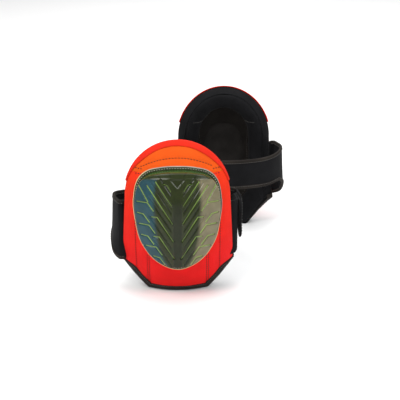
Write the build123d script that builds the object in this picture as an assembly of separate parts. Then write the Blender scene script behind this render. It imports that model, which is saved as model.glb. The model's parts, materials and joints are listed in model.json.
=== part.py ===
from build123d import *
import math
import os

# A pair of knee pads. Millimetres. Each pad is modelled standing on its hem, with its cap towards -Y
# and its leg side towards +Y, x = 0 on its centre line and y = 0 at the outermost point of its cover.

# Overall sizes of one pad
pad_height = 253.0
pad_half_width = 90.0
hem_half_width = 48.0
chamfer_height = 50.0
shoulder_half_width = 84.0
shoulder_height = 160.0

# The moulded curve: radius round the leg, and radius along it, both at the outer cover
wrap_radius = 115.0
long_radius = 230.0

# Layers, from the cover inwards
cover_thickness = 1.5
foam_thickness = 11.7
lining_thickness = 1.5
bolster_thickness = 11.8
cushion_thickness = 5.8
layer_gap = 0.15
edge_wall = 2.0

# How many straight steps make each side of the outline, so that it keeps to the wrap curve
side_steps = 3

# Cover seams and hems
hem_width = 7.0
crown_seam_height = 204.0
side_seam_half_width = 65.0
seam_gap = 0.3

# Leg side
bolster_width = 33.0
gel_pad_half_width = 36.0
gel_pad_half_height = 44.0
gel_pad_thickness = 6.0

# Kneeling cap
cap_lift = 46.6
cap_flange = 1.7
cap_rise = 22.0
cap_wall = 5.0
cap_wrap_radius = 100.0
cap_long_radius = 190.0
cap_base_share = 0.92
cap_top_share = 0.60
# Half outline of the flange, from its top centre to its bottom centre: x, height above its lowest point
cap_outline = [
    (0, 171.4),
    (30, 169.4),
    (56, 162.4),
    (66, 143.4),
    (68.4, 117.4),
    (65.7, 80.4),
    (54.8, 41.4),
    (42, 22.4),
    (26.6, 9.4),
    (0, 0),
]

# Strap, wing and flap
strap_thickness = 2.8
strap_low = 52.0
strap_high = 152.0
strap_band_low = 100.0
strap_taper_run = 55.0
strap_depth = 60.0
strap_flare_run = 29.0
strap_offset = 2.5
binding_height = 3.0
binding_thickness = 4.2
binding_trim = 1.5
seam_bead_radius = 2.0
seam_stand_off = 2.5
flap_thickness = 2.5
flap_length = 42.0
flap_tip_drop = 20.0
wing_thickness = 2.8
wing_length = 38.0
patch_thickness = 0.8
fastener_gap = 0.4

# The pair: how far each pad stands from the middle
pair_offset = 41.5
pair_half_gap = 196.0

# Worked out from the sizes above
middle_height = pad_height / 2
cover_inner = wrap_radius - cover_thickness
foam_outer = cover_inner - layer_gap
foam_inner = foam_outer - foam_thickness
lining_outer = foam_inner - layer_gap
lining_inner = lining_outer - lining_thickness
padding_outer = lining_inner - layer_gap
bolster_inner = padding_outer - bolster_thickness
cushion_inner = padding_outer - cushion_thickness
edge_depth = wrap_radius - math.sqrt(wrap_radius**2 - pad_half_width**2)
crown_depth = long_radius - math.sqrt(long_radius**2 - middle_height**2)
crown_slope = middle_height / (long_radius - crown_depth)
hem_drop = 1.0
far = 400.0


def turned_block(centre_y, axis_y, axis_z, inner, outer):
    """A curved slab: the ring sector between two radii, turned about a line parallel to X."""
    spread = 80
    start = -90 - spread
    rim = CenterArc((0, centre_y), outer, start, 2 * spread)
    bore = CenterArc((0, centre_y), inner, start, 2 * spread)
    profile = make_face([rim, bore, Line(rim @ 0, bore @ 0), Line(rim @ 1, bore @ 1)])
    axis = Axis((0, axis_y, axis_z), (1, 0, 0))
    sweep = 116
    profile = Pos(0, 0, axis_z) * profile
    return revolve(profile.rotate(axis, -sweep / 2), axis=axis, revolution_arc=sweep)


def layer(inner, outer):
    """One moulded layer of the pad, between two wrap radii."""
    return turned_block(wrap_radius, long_radius, middle_height, inner, outer)


def meet(p, d, q, e):
    """The point where the line through p along d crosses the line through q along e."""
    t = ((q[0] - p[0]) * e[1] - (q[1] - p[1]) * e[0]) / (d[0] * e[1] - d[1] * e[0])
    return (p[0] + t * d[0], p[1] + t * d[1])


def outline_corners(inset):
    """The hem, chamfer and shoulder corners of the pad's half outline, moved inwards by inset."""
    hem = (hem_half_width, 0)
    elbow = (pad_half_width, chamfer_height)
    shoulder = (shoulder_half_width, shoulder_height)
    chamfer = (elbow[0] - hem[0], elbow[1] - hem[1])
    side = (shoulder[0] - elbow[0], shoulder[1] - elbow[1])
    chamfer_length = math.hypot(*chamfer)
    slid = (hem[0] - chamfer[1] / chamfer_length * inset, chamfer[0] / chamfer_length * inset)
    low = meet(slid, chamfer, (0, inset), (1, 0))
    mid = meet(slid, chamfer, (elbow[0] - inset, elbow[1]), side)
    return low, mid, (shoulder[0] - inset, shoulder[1])


def edge_place(x, z, y):
    """Where the pad's edge through x on the cover is at depth y; edges stand square to the layers."""
    rise = z - middle_height
    turn = math.asin(x / wrap_radius)
    places = []
    for radius in (wrap_radius, bolster_inner):
        reach = long_radius - wrap_radius + radius * math.cos(turn)
        places.append((radius * math.sin(turn), long_radius - math.sqrt(reach**2 - rise**2)))
    (x_out, y_out), (x_in, y_in) = places
    return x_out + (y - y_out) * (x_in - x_out) / (y_in - y_out)


def outline_face(inset, y):
    """The pad's outline at one depth, a little low at the hem; it narrows towards the middle of the wrap curve."""
    low, mid, top = outline_corners(inset)
    crown_rise = pad_height - top[1] - inset + crown_slope * (crown_depth - y)
    crown = EllipticalCenterArc((0, top[1]), edge_place(*top, y), crown_rise, arc_size=180)
    rises = [k / side_steps for k in range(1, side_steps)]
    side = [(mid[0] + (top[0] - mid[0]) * t, mid[1] + (top[1] - mid[1]) * t) for t in rises]
    corners = [low, mid] + side
    under = low[1] - hem_drop
    right = [(edge_place(*low, y), under)] + [(edge_place(x, z, y), z) for x, z in corners] + [crown @ 0]
    left = [(edge_place(-low[0], low[1], y), under)] + [(edge_place(-x, z, y), z) for x, z in corners] + [crown @ 1]
    sides = [Line(a, b) for run in (right, left) for a, b in zip(run, run[1:])]
    face = make_face([crown, Line(left[0], right[0])] + sides)
    return Plane(origin=(0, y, 0), x_dir=(1, 0, 0), z_dir=(0, -1, 0)) * face


def cutter(inset):
    """Everything inside the pad's outline, moved inwards by inset and cut flat at the hem."""
    return loft([outline_face(inset, -40), outline_face(inset, wrap_radius - 15)], ruled=True) & zone(z_low=inset)


def zone(x_low=-far, x_high=far, z_low=-far, z_high=far):
    """A box over the whole depth, between two widths and two heights."""
    box = Box(x_high - x_low, 2 * far, z_high - z_low)
    return Pos((x_low + x_high) / 2, 0, (z_low + z_high) / 2) * box


def cover_pieces():
    """The sewn cover: a shallow tray over the foam, cut into its panels along the seams."""
    whole = cutter(0)
    skin = layer(cover_inner, wrap_radius) & whole
    tray = (layer(lining_inner, wrap_radius) & whole) - (layer(wrap_radius / 2, cover_inner) & cutter(edge_wall))
    inside_hem = cutter(hem_width + seam_gap)
    rim = tray - cutter(hem_width)
    half_gap = seam_gap / 2
    above = zone(z_low=crown_seam_height + half_gap)
    below = zone(z_high=crown_seam_height - half_gap)
    lower = below - (zone(z_high=chamfer_height + seam_gap) - inside_hem)
    pieces = {
        "bottom_binding": rim & zone(z_high=chamfer_height),
        "crown_hem": rim & above,
        "crown_panel": tray & inside_hem & above,
    }
    seam_in = side_seam_half_width - half_gap
    seam_out = side_seam_half_width + half_gap
    pieces["centre_panel"] = skin & zone(-seam_in, seam_in) & lower
    pieces["left_side_panel"] = tray & zone(x_high=-seam_out) & lower
    pieces["right_side_panel"] = tray & zone(x_low=seam_out) & lower
    return pieces


def padding_pieces():
    """The foam with its gel insert, the lining, and the padding on the leg side."""
    inside = cutter(edge_wall + layer_gap)
    gel_outer = (foam_outer + foam_inner + gel_pad_thickness) / 2
    gel_inner = gel_outer - gel_pad_thickness
    gel_zone = zone(
        -gel_pad_half_width, gel_pad_half_width,
        middle_height - gel_pad_half_height, middle_height + gel_pad_half_height,
    )
    pocket_zone = zone(
        -gel_pad_half_width - layer_gap, gel_pad_half_width + layer_gap,
        middle_height - gel_pad_half_height - layer_gap, middle_height + gel_pad_half_height + layer_gap,
    )
    pocket = layer(gel_inner - layer_gap, gel_outer + layer_gap) & pocket_zone
    ring_start = 1.0
    ring = cutter(ring_start) - cutter(ring_start + bolster_width)
    return {
        "foam_shell": (layer(foam_inner, foam_outer) & inside) - pocket,
        "gel_pad": layer(gel_inner, gel_outer) & gel_zone,
        "lining": layer(lining_inner, lining_outer) & inside,
        "rim_bolster": layer(bolster_inner, padding_outer) & ring,
        "knee_cushion": layer(cushion_inner, padding_outer) & cutter(ring_start + bolster_width + layer_gap),
    }


def cap_face(share, y):
    """The cap's outline at one depth, scaled about its middle."""
    middle = cap_lift + cap_outline[0][1] / 2
    half = [(x * share, (cap_lift + z - middle) * share + middle) for x, z in cap_outline]
    other = [(-x, z) for x, z in half[-2:0:-1]]
    face = make_face(Polyline(*half, *other, close=True))
    return Plane(origin=(0, y, 0), x_dir=(1, 0, 0), z_dir=(0, -1, 0)) * face


def cap_pieces():
    """The kneeling cap, hollow under its dome, and the gel core that fills it."""
    middle = cap_lift + cap_outline[0][1] / 2
    seat = wrap_radius + layer_gap

    def dome(drop, narrowing):
        base = cap_face(cap_base_share - narrowing, 30)
        top = cap_face(cap_top_share - narrowing, -cap_rise - 5)
        skin = turned_block(
            cap_wrap_radius - cap_rise, cap_long_radius - cap_rise, middle, cap_wall, cap_wrap_radius - drop
        )
        return loft([base, top], ruled=True) & skin

    wall_share = cap_wall / cap_outline[4][0]
    sides = loft([cap_face(1, 60), cap_face(1, -40)], ruled=True)
    flange = layer(seat, seat + cap_flange) & sides
    under = layer(wrap_radius / 2, seat)
    solid_cap = flange + (dome(0, 0) - under)
    cavity = dome(cap_wall, wall_share) - under
    core = dome(cap_wall + layer_gap, wall_share + 0.004) - layer(wrap_radius / 2, seat + layer_gap)
    return {"tread_cap": solid_cap - cavity, "gel_core": core}


# Strap layout in plan: the band follows an ellipse round the leg, from its seam to its flap.
seam_x = -pad_half_width - seam_stand_off
seam_y = edge_depth + seam_stand_off
strap_mid_x = -strap_offset
strap_mid_y = seam_y + strap_flare_run
strap_half_width = (strap_mid_x - seam_x) / math.sqrt(1 - (strap_flare_run / strap_depth) ** 2)
flap_root_turn = math.asin(0.32)
flap_root = (
    strap_mid_x + strap_half_width * math.cos(flap_root_turn),
    strap_mid_y + strap_depth * math.sin(flap_root_turn),
)
swing_radius = math.hypot(flap_root[0] - seam_x, flap_root[1] - seam_y)
root_angle = math.degrees(math.atan2(flap_root[1] - seam_y, flap_root[0] - seam_x))
flap_outer = swing_radius + flap_thickness / 2
flap_inner = flap_outer - flap_thickness
hook_inner = flap_inner - layer_gap - patch_thickness
loop_outer = hook_inner - fastener_gap
wing_outer = loop_outer - patch_thickness - layer_gap


def arc_angle(length, radius):
    return math.degrees(length / radius)


def swept(inner, outer, start, end):
    """A slab round the strap's seam, between two radii and two angles, over the whole height."""
    rim = CenterArc((seam_x, seam_y), outer, start, end - start)
    bore = CenterArc((seam_x, seam_y), inner, start, end - start)
    face = make_face([rim, bore, Line(rim @ 0, bore @ 0), Line(rim @ 1, bore @ 1)])
    return extrude(face, pad_height)


def side_shape(points):
    """A shape drawn from the side, depth and height, carried through the whole width."""
    face = make_face(Polyline(*points, close=True))
    return extrude(Plane.YZ * face, far, both=True)


def strap_sides(inset):
    """The strap from the side: full height at its wings, tapering to the band behind the leg."""
    start = seam_y - seam_bead_radius - 1
    run = math.hypot(strap_taper_run, strap_band_low - strap_low)
    slope = inset * run / strap_taper_run
    return side_shape(
        [
            (start, strap_low + slope),
            (seam_y, strap_low + slope),
            (seam_y + strap_taper_run, strap_band_low + slope),
            (far, strap_band_low + slope),
            (far, strap_high - inset),
            (start, strap_high - inset),
        ]
    )


def strap_loop(thickness, trim=0.0):
    """The strap's loop in plan, over the whole height, from its seam to trim short of the flap's root."""
    ring = Ellipse(strap_half_width + thickness / 2, strap_depth + thickness / 2)
    ring -= Ellipse(strap_half_width - thickness / 2, strap_depth - thickness / 2)
    loop = extrude(Pos(strap_mid_x, strap_mid_y) * ring, pad_height)
    front = Pos(0, seam_y - far) * Box(2 * far, 2 * far, 3 * far)
    reach = strap_half_width + swing_radius
    end_turn = math.radians(root_angle + arc_angle(trim, swing_radius))
    corner = (seam_x + reach * math.cos(end_turn), seam_y + reach * math.sin(end_turn))
    below = make_face(Polyline((seam_x, seam_y), corner, (corner[0], -far), (seam_x, -far), close=True))
    keep_clear = Pos(seam_x, seam_y) * Cylinder(seam_bead_radius / 2, 3 * far)
    return loop - front - extrude(below, far) - keep_clear


def strap_pieces():
    """The neoprene band with its left wing, and the two bindings along its edges."""
    inside = strap_sides(binding_height + layer_gap)
    bead = Pos(seam_x, seam_y, middle_height) * Cylinder(seam_bead_radius, pad_height)
    band = (strap_loop(strap_thickness) + bead) & inside
    edge = strap_loop(binding_thickness, binding_trim) & strap_sides(0)
    strips = edge - strap_sides(binding_height)
    return {
        "strap_band": band,
        "strap_upper_binding": strips & zone(z_low=(strap_high + strap_band_low) / 2),
        "strap_lower_binding": strips & zone(z_high=(strap_high + strap_band_low) / 2),
    }


def flap_pieces():
    """The pointed end of the strap, with the hook half of the fastener on its inner face."""
    root_gap = arc_angle(fastener_gap, swing_radius)
    root = root_angle - root_gap
    tip = root - arc_angle(flap_length, swing_radius)
    y_root = flap_root[1] + flap_thickness
    y_tip = flap_root[1] - flap_length - flap_thickness
    drop = strap_band_low - flap_tip_drop
    shape = side_shape(
        [
            (y_root, strap_band_low - binding_height),
            (y_tip + flap_length / 3, drop),
            (y_tip, drop + flap_tip_drop / 2),
            (y_tip, strap_high - flap_tip_drop / 2),
            (y_tip + flap_tip_drop / 2, strap_high),
            (y_root, strap_high),
        ]
    )
    patch_edge = 4.0
    patch_turn = arc_angle(patch_edge, swing_radius)
    patch_zone = zone(z_low=strap_band_low + patch_edge, z_high=strap_high - patch_edge)
    hook = swept(hook_inner, hook_inner + patch_thickness, tip + patch_turn, root - patch_turn) & patch_zone
    return {"strap_flap": swept(flap_inner, flap_outer, tip, root) & shape, "hook_patch": hook}


def wing_pieces():
    """The wing on the fastening side, with the loop half of the fastener on its outer face."""
    end = root_angle - arc_angle(fastener_gap, swing_radius)
    start = end - arc_angle(wing_length, swing_radius)
    wing_inner = wing_outer - wing_thickness
    blade = swept(wing_inner, wing_outer, start, end)
    begin = math.radians(start)
    foot_x = seam_x + (wing_inner + wing_thickness / 2) * math.cos(begin)
    foot_y = seam_y + (wing_inner + wing_thickness / 2) * math.sin(begin)
    tab_start = pad_half_width + seam_gap
    tab = Pos((tab_start + foot_x) / 2, foot_y + wing_thickness / 2) * Box(
        foot_x - tab_start, wing_thickness, 2 * far
    )
    patch_edge = 4.0
    patch_turn = arc_angle(patch_edge, swing_radius)
    loop = swept(wing_outer + layer_gap, loop_outer, start + patch_turn, end - patch_turn)
    loop_zone = zone(z_low=strap_band_low + patch_edge, z_high=strap_high - patch_edge)
    return {"right_wing": (blade + tab) & strap_sides(binding_height), "loop_patch": loop & loop_zone}


def pad_pieces():
    pieces = {}
    for group in (cap_pieces, cover_pieces, padding_pieces, wing_pieces, strap_pieces, flap_pieces):
        pieces.update(group())
    return pieces


os.makedirs("parts", exist_ok=True)
places = {
    "front": Pos(-pair_offset, -pair_half_gap, 0),
    "rear": Pos(pair_offset, pair_half_gap, 0) * Rot(0, 0, 180),
}
for name, piece in pad_pieces().items():
    for side, place in places.items():
        export_step(place * piece, f"parts/{side}_{name}.step")

print("seam", round(seam_x, 2), round(seam_y, 2), "flap hinge angle", round(root_angle, 3))
hinge = math.radians(root_angle)
hinge_x = seam_x + flap_outer * math.cos(hinge)
hinge_y = seam_y + flap_outer * math.sin(hinge)
print("flap hinge", round(hinge_x, 3), round(hinge_y, 3), "flap outer radius", round(flap_outer, 2))
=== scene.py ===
import json
import math

import bmesh
import bpy
from mathutils import Matrix, Vector, noise


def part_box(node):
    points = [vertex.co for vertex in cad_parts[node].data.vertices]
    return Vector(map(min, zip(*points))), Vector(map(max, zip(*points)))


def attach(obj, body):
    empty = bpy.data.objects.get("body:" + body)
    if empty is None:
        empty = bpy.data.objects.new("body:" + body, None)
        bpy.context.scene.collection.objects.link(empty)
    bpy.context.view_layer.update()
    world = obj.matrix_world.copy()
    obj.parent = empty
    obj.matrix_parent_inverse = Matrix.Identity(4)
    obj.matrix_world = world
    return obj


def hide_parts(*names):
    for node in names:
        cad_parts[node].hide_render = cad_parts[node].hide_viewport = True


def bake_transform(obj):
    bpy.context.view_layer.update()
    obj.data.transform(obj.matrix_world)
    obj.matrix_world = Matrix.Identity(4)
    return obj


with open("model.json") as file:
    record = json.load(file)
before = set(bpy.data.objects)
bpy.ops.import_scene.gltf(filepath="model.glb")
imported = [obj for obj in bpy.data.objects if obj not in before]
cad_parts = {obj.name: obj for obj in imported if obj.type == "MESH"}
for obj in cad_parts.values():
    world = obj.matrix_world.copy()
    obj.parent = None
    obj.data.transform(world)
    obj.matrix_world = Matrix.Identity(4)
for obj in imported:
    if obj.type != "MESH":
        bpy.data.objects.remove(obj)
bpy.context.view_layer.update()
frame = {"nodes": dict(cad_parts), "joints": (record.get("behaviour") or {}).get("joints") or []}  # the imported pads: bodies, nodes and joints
mm = 0.001

# Where each pad stands, read from the frame. Pieces are made once for one pad, then placed on both.
capLow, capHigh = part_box("front_tread_cap")
padX = (capLow.x + capHigh.x) / 2
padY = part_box("front_centre_panel")[0].y
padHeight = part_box("front_crown_hem")[1].z
padPlaces = {
    "front": Matrix.Translation((padX, padY, 0)),
    "rear": Matrix.Translation((-padX, -padY, 0)) @ Matrix.Rotation(math.pi, 4, "Z"),
}

# The moulded curve and the outline that every layer shares
mould = {"wrap": 0.115, "long": 0.230, "middle": padHeight / 2}
padShape = {
    "hemHalf": 0.048,
    "half": 0.090,
    "chamfer": 0.050,
    "shoulderHalf": 0.084,
    "shoulder": 0.160,
    "heart": 0.120,  # height of the point that the outline is seen from
    "corner": 0.0022,  # rounding where the cover turns over the edge
}


def smooth(t):
    t = min(max(t, 0.0), 1.0)
    return t * t * (3 - 2 * t)


def onMould(x, z, depth):
    # a point depth in from the cover, under the cover's point at x and height z
    turn = math.asin(max(-0.98, min(0.98, x / mould["wrap"])))
    core = mould["long"] - mould["wrap"]
    rise = z - mould["middle"]
    outer = core + mould["wrap"] * math.cos(turn)
    inner = core + (mould["wrap"] - depth) * math.cos(turn)
    side = (mould["wrap"] - depth) * math.sin(turn)
    if rise < 0:
        return Vector((side, mould["long"] - math.sqrt(inner**2 - rise**2), z))
    tilt = math.asin(min(0.95, rise / outer))
    return Vector((side, mould["long"] - inner * math.cos(tilt), mould["middle"] + inner * math.sin(tilt)))


def halfWidth(z):
    s = padShape
    if z < s["chamfer"]:
        return s["hemHalf"] + (s["half"] - s["hemHalf"]) * z / s["chamfer"]
    if z < s["shoulder"]:
        share = (z - s["chamfer"]) / (s["shoulder"] - s["chamfer"])
        return s["half"] + (s["shoulderHalf"] - s["half"]) * share
    up = (z - s["shoulder"]) / (padHeight - s["shoulder"])
    return s["shoulderHalf"] * math.sqrt(max(0.0, 1 - up * up))


def ray(angle):
    return Vector((math.cos(angle), math.sin(angle)))


reachCache = {}


def padReach(angle):
    # how far the outline is from the pad's heart in one direction
    key = round(angle, 5)
    if key not in reachCache:
        near, far, way = 0.0, 0.3, ray(angle)
        for _ in range(26):
            r = (near + far) / 2
            x, z = way.x * r, padShape["heart"] + way.y * r
            inside = 0 <= z <= padHeight and abs(x) <= halfWidth(z)
            near, far = (r, far) if inside else (near, r)
        reachCache[key] = near
    return reachCache[key]


def padSlant(angle):
    # how much a step across the outline is shortened where the outline isn't square to the ray
    a, b = padReach(angle - 0.01) * ray(angle - 0.01), padReach(angle + 0.01) * ray(angle + 0.01)
    along = (b - a).normalized()
    return max(0.6, abs(along.x * ray(angle).y - along.y * ray(angle).x))


def atEdge(angle, inset, lift):
    # a point inset from the outline (negative: round the edge), lifted off the cover
    r, way = padShape["corner"], ray(angle)
    past = r - inset
    if past <= 0:
        out, depth = -inset, -lift
    else:
        a = min(past / r, math.pi / 2)
        out = (r + lift) * math.sin(a) - r
        depth = r - (r + lift) * math.cos(a) + max(0.0, past - r * math.pi / 2)
    p = (padReach(angle) + out / padSlant(angle)) * way
    return onMould(p.x, padShape["heart"] + p.y, depth)


def grid(across, along):
    bm = bmesh.new()
    bmesh.ops.create_grid(bm, x_segments=across, y_segments=along, size=1)
    return bm


def shaped(bm, place):
    for v in bm.verts:
        v.co = place(v.co.x, v.co.y)
    return bm


def thicken(bm, thickness):
    bmesh.ops.recalc_face_normals(bm, faces=bm.faces)
    bmesh.ops.solidify(bm, geom=bm.faces[:], thickness=thickness)
    bmesh.ops.recalc_face_normals(bm, faces=bm.faces)
    return bm


def onBothPads(name, bm, material, body="pad", nodes=(), finish=None):
    # places one finished shape on the front pad and on the rear one
    made = []
    for v in bm.verts:
        v.co.z = max(v.co.z, 0.0)  # nothing reaches under the floor that the pads stand on
    for side, place in padPlaces.items():
        mesh = bpy.data.meshes.new(side + name)
        bm.to_mesh(mesh)
        mesh.transform(place)
        mesh.polygons.foreach_set("use_smooth", [True] * len(mesh.polygons))
        mesh.materials.append(material)
        obj = bpy.data.objects.new(side + name, mesh)
        bpy.context.scene.collection.objects.link(obj)
        if nodes:
            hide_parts(*[f"{side}_{node}" for node in nodes])
        if finish:
            finish(obj, side, place)
        else:
            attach(obj, f"{side}_{body}")
        made.append(obj)
    bm.free()
    return made


def sheetOf(held, flat, area, restsOn, rides=None):
    # makes a cloth piece's finish: it goes to rides if given, else it is attached to its pad; held, restsOn
    # and the size it was cut to, in metres and square metres, are not used
    def declare(obj, side, place):
        if rides:
            rides(obj, side, place)
        else:
            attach(obj, side + "_pad")

    return declare


def padPoint(place, x, y, z):
    return tuple(place @ Vector((x, y, z)))


# Materials

def newMaterial(name, roughness, sheen=0.0, coat=0.0, specular=0.5):
    material = bpy.data.materials.new(name)
    material.use_nodes = True
    shader = material.node_tree.nodes["Principled BSDF"]
    shader.inputs["Roughness"].default_value = roughness
    shader.inputs["Sheen Weight"].default_value = sheen
    shader.inputs["Coat Weight"].default_value = coat
    shader.inputs["Coat Roughness"].default_value = 0.08
    shader.inputs["Specular IOR Level"].default_value = specular
    return material, material.node_tree, shader


def node(tree, kind, **values):
    made = tree.nodes.new(kind)
    for key, value in values.items():
        if key in made.inputs:
            made.inputs[key].default_value = value
        else:
            setattr(made, key, value)
    return made


def objectCoords(tree, scale):
    coords = node(tree, "ShaderNodeTexCoord")
    mapping = node(tree, "ShaderNodeMapping")
    mapping.inputs["Scale"].default_value = scale
    tree.links.new(coords.outputs["Object"], mapping.inputs["Vector"])
    return mapping.outputs["Vector"]


def noiseAt(tree, vector, scale, detail=2.0):
    made = node(tree, "ShaderNodeTexNoise", Scale=scale, Detail=detail)
    tree.links.new(vector, made.inputs["Vector"])
    return made.outputs["Fac"]


def ramp(tree, fac, stops):
    made = node(tree, "ShaderNodeValToRGB")
    made.color_ramp.elements[0].position, made.color_ramp.elements[0].color = stops[0]
    made.color_ramp.elements[1].position, made.color_ramp.elements[1].color = stops[-1]
    for position, color in stops[1:-1]:
        made.color_ramp.elements.new(position).color = color
    tree.links.new(fac, made.inputs["Fac"])
    return made.outputs["Color"]


def mixed(tree, fac, a, b, blend="MIX"):
    made = node(tree, "ShaderNodeMix", data_type="RGBA", blend_type=blend)
    for socket, value in ((0, fac), (6, a), (7, b)):
        if isinstance(value, bpy.types.NodeSocket):
            tree.links.new(value, made.inputs[socket])
        else:
            made.inputs[socket].default_value = value
    return made.outputs[2]


def bumpFrom(tree, shader, height, strength, distance):
    made = node(tree, "ShaderNodeBump", Strength=strength, Distance=distance)
    tree.links.new(height, made.inputs["Height"])
    tree.links.new(made.outputs["Normal"], shader.inputs["Normal"])


def weaveHeight(tree, pitch):
    # threads over and under, as two crossed waves
    vector = objectCoords(tree, (1, 1, 1))
    waves = []
    for way in ("X", "Z"):
        made = node(tree, "ShaderNodeTexWave", Scale=0.314 / pitch, Distortion=0.6)
        made.bands_direction = way
        made.inputs["Detail"].default_value = 1.0
        made.inputs["Detail Scale"].default_value = 0.4
        tree.links.new(vector, made.inputs["Vector"])
        waves.append(made.outputs["Fac"])
    made = node(tree, "ShaderNodeMath", operation="MULTIPLY")
    tree.links.new(waves[0], made.inputs[0])
    tree.links.new(waves[1], made.inputs[1])
    return made.outputs["Value"]


clothLook = {
    "pitch": 0.0011,
    "red": (0.84, 0.012, 0.012, 1),
    "orangeRed": (0.90, 0.045, 0.008, 1),
    "orange": (0.86, 0.103, 0.007, 1),
    "hem": (0.80, 0.026, 0.010, 1),
}


def coverCloth(name, low, high):
    # woven nylon, redder at the hem and more orange towards the crown
    material, tree, shader = newMaterial(name, 0.78, specular=0.12)
    vector = objectCoords(tree, (1, 1, 1))
    split = node(tree, "ShaderNodeSeparateXYZ")
    tree.links.new(vector, split.inputs["Vector"])
    rise = node(tree, "ShaderNodeMapRange")
    rise.inputs["From Max"].default_value = padHeight
    tree.links.new(split.outputs["Z"], rise.inputs["Value"])
    base = ramp(tree, rise.outputs["Result"], [(0.25, low), (0.55, mixOf(low, high, 0.35)), (0.85, high)])
    patchy = noiseAt(tree, vector, 28, 3)
    worn = ramp(tree, patchy, [(0.35, (0.90, 0.90, 0.90, 1)), (0.65, (1.0, 1.0, 1.0, 1))])
    tint = mixed(tree, 1.0, base, worn, "MULTIPLY")
    weave = weaveHeight(tree, clothLook["pitch"])
    threads = ramp(tree, weave, [(0.0, (0.86, 0.86, 0.86, 1)), (0.6, (1, 1, 1, 1))])
    tree.links.new(mixed(tree, 1.0, tint, threads, "MULTIPLY"), shader.inputs["Base Color"])
    bumpFrom(tree, shader, weave, 0.35, 0.0004)
    return material


def mixOf(a, b, t):
    return tuple(p + (q - p) * t for p, q in zip(a, b))


def darkCloth(name, color, light, roughness, sheen, pitch, strength):
    # black cloth: a fine knit or weave, with slightly greyer wear
    material, tree, shader = newMaterial(name, roughness, sheen=sheen, specular=0.14)
    shader.inputs["Sheen Roughness"].default_value = 0.45
    vector = objectCoords(tree, (1, 1, 1))
    base = ramp(tree, noiseAt(tree, vector, 45, 4), [(0.3, color), (0.75, light)])
    weave = weaveHeight(tree, pitch)
    threads = ramp(tree, weave, [(0.0, (0.7, 0.7, 0.7, 1)), (0.7, (1, 1, 1, 1))])
    tree.links.new(mixed(tree, 1.0, base, threads, "MULTIPLY"), shader.inputs["Base Color"])
    bumpFrom(tree, shader, weave, strength, 0.0003)
    return material


def moulded(name):
    # the glossy cap: its colours are painted on the mesh, painted reflection, shade and highlight among
    # them, with a faint cast grain
    material, tree, shader = newMaterial(name, 0.24, coat=0.22, specular=0.14)
    paint = node(tree, "ShaderNodeAttribute", attribute_name="capTint")
    vector = objectCoords(tree, (1, 1, 1))
    shades = [(0.3, (0.85, 0.85, 0.85, 1)), (0.7, (1.12, 1.12, 1.12, 1))]
    cloudy = ramp(tree, noiseAt(tree, vector, 60, 3), shades)
    tint = mixed(tree, 1.0, paint.outputs["Color"], cloudy, "MULTIPLY")
    tree.links.new(tint, shader.inputs["Base Color"])
    shader.inputs["Subsurface Weight"].default_value = 0.10
    shader.inputs["Subsurface Radius"].default_value = (0.002, 0.004, 0.001)
    bumpFrom(tree, shader, noiseAt(tree, vector, 700, 2), 0.04, 0.0003)
    return material


def plain(name, color, light, roughness, grain, strength):
    material, tree, shader = newMaterial(name, roughness)
    vector = objectCoords(tree, (1, 1, 1))
    speckle = noiseAt(tree, vector, grain, 4)
    tree.links.new(ramp(tree, speckle, [(0.35, color), (0.7, light)]), shader.inputs["Base Color"])
    bumpFrom(tree, shader, speckle, strength, 0.0005)
    return material


panelCloth = coverCloth("panelCloth", clothLook["red"], clothLook["orangeRed"])
crownCloth = coverCloth("crownCloth", clothLook["orange"], clothLook["orange"])
hemCloth = coverCloth("hemCloth", clothLook["hem"], clothLook["hem"])
bindingTape = darkCloth("bindingTape", (0.016, 0.013, 0.011, 1), (0.034, 0.028, 0.023, 1),
                        0.85, 0.05, 0.0014, 0.5)
neoprene = darkCloth("neoprene", (0.0042, 0.0042, 0.0050, 1), (0.0085, 0.0085, 0.0100, 1),
                     0.82, 0.03, 0.0009, 0.25)
softLining = darkCloth("softLining", (0.0075, 0.0060, 0.0050, 1), (0.014, 0.0115, 0.0095, 1),
                       0.88, 0.04, 0.0008, 0.2)
cushionCloth = darkCloth("cushionCloth", (0.011, 0.0095, 0.0085, 1), (0.019, 0.0165, 0.015, 1),
                         0.9, 0.04, 0.0008, 0.2)
blackThread = plain("blackThread", (0.008, 0.004, 0.003, 1), (0.02, 0.010, 0.008, 1), 0.7, 900, 0.2)
greyThread = plain("greyThread", (0.045, 0.043, 0.040, 1), (0.075, 0.072, 0.066, 1), 0.7, 900, 0.2)
paleThread = plain("paleThread", (0.30, 0.30, 0.22, 1), (0.45, 0.45, 0.34, 1), 0.6, 900, 0.2)
foamCells = plain("foamCells", (0.06, 0.06, 0.06, 1), (0.12, 0.12, 0.12, 1), 0.95, 500, 0.5)
gelFill = plain("gelFill", (0.02, 0.03, 0.012, 1), (0.05, 0.06, 0.02, 1), 0.3, 120, 0.1)
fastenerPile = plain("fastenerPile", (0.006, 0.006, 0.006, 1), (0.03, 0.03, 0.03, 1), 0.95, 1400, 0.8)
capGloss = moulded("capGloss")
print("materials made")

# Orange cover

cover = {
    # each panel's cut width and length, and its flat area
    "centreCut": ((0.139, 0.215), 0.0293),
    "sideCut": ((0.038, 0.185), 0.0050),
    "crownCut": ((0.150, 0.060), 0.0061),
    "steps": 150,
    "thickness": 1.2 * mm,
    "puff": 0.7 * mm,
    "puffReach": 8 * mm,
    "seamDip": 0.45 * mm,
    "seamReach": 1.8 * mm,
    "sideSeam": 65 * mm,
    "doubleSeams": (45.5 * mm, 48.5 * mm),
    "crownSeam": 0.2035,
    "edgeTurn": 1.0,  # how far round the edge the cover reaches, in radians
    "arcTop": 0.2290,
    "arcDrop": 5.2,  # how fast the crown's stitched arc falls away from the middle, per metre
}


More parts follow.
